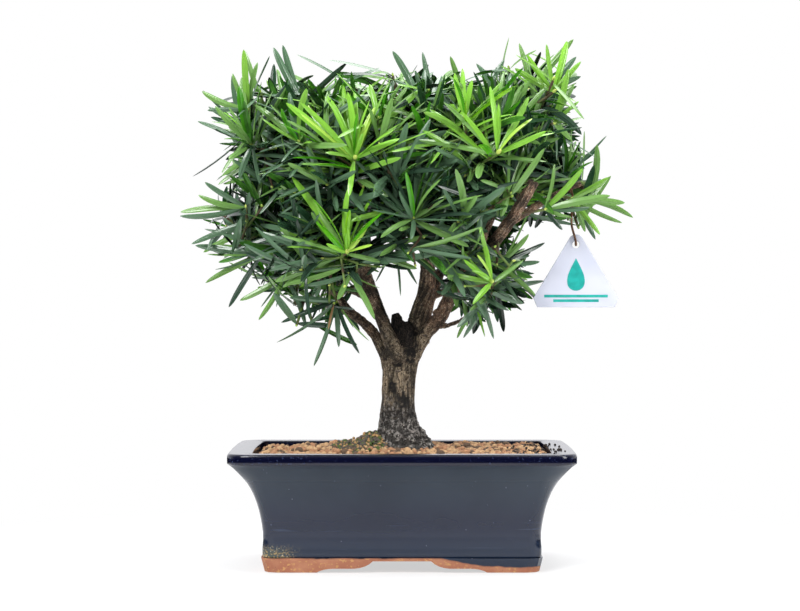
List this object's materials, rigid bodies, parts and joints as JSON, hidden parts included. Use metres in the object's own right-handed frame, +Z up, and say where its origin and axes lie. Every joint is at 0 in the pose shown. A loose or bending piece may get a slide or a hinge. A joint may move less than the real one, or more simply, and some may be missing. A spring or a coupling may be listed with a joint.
{
  "type": "potted podocarpus bonsai",
  "caption": "Small potted podocarpus tree: a short flared trunk forks into boughs under a dense, flat-topped crown of long narrow leaves, in a flared rectangular glazed pot.",
  "frame": {"origin": "middle of the flat underside of the pot's feet, on the surface that the pot stands on", "axes": "+Z up along the trunk, +X to the right along the pot's length, +Y to the back"},
  "size_m": [0.3948, 0.2813, 0.4681],
  "materials": {
    "glaze": "deep navy gloss glaze, near black at the rim",
    "clay": "bare fired red-brown clay",
    "soil": "loose baked clay granules, ochre to red-brown",
    "bark": "fissured brown-grey bark",
    "deadwood": "blackened dead stub",
    "foliage": "leathery dark green leaves with young lime green shoots",
    "tag": null,
    "wire": "brown coated training wire"
  },
  "bodies": {
    "root": {"pot": "glaze", "pot_foot": "clay", "soil": "soil", "trunk": "bark", "cut_stub": "deadwood", "bough_centre": "bark", "bough_right": "bark", "bough_left_front": "bark", "bough_left_outer": "bark", "bough_back_left": "bark", "bough_back_right": "bark", "limb_right_low": "bark", "limb_low_front": "bark", "limb_left": "bark", "limb_left_low": "bark", "limb_front_middle": "bark", "limb_front_right": "bark", "limb_back_top": "bark", "limb_top_right": "bark", "limb_right": "bark", "limb_back_left_low": "bark", "limb_back_right_low": "bark", "tag": "tag", "tag_wire": "wire", "leaves_front_left": "foliage", "leaves_low_front": "foliage", "leaves_front_middle": "foliage", "leaves_front_right": "foliage", "leaves_low_right": "foliage", "leaves_left": "foliage", "leaves_low_left": "foliage", "leaves_top_left": "foliage", "leaves_right": "foliage", "leaves_top_right": "foliage", "leaves_top": "foliage", "leaves_back_top": "foliage", "leaves_back_left": "foliage", "leaves_back_right": "foliage", "leaves_back_left_low": "foliage", "leaves_back_right_low": "foliage"}
  },
  "joints": []
}
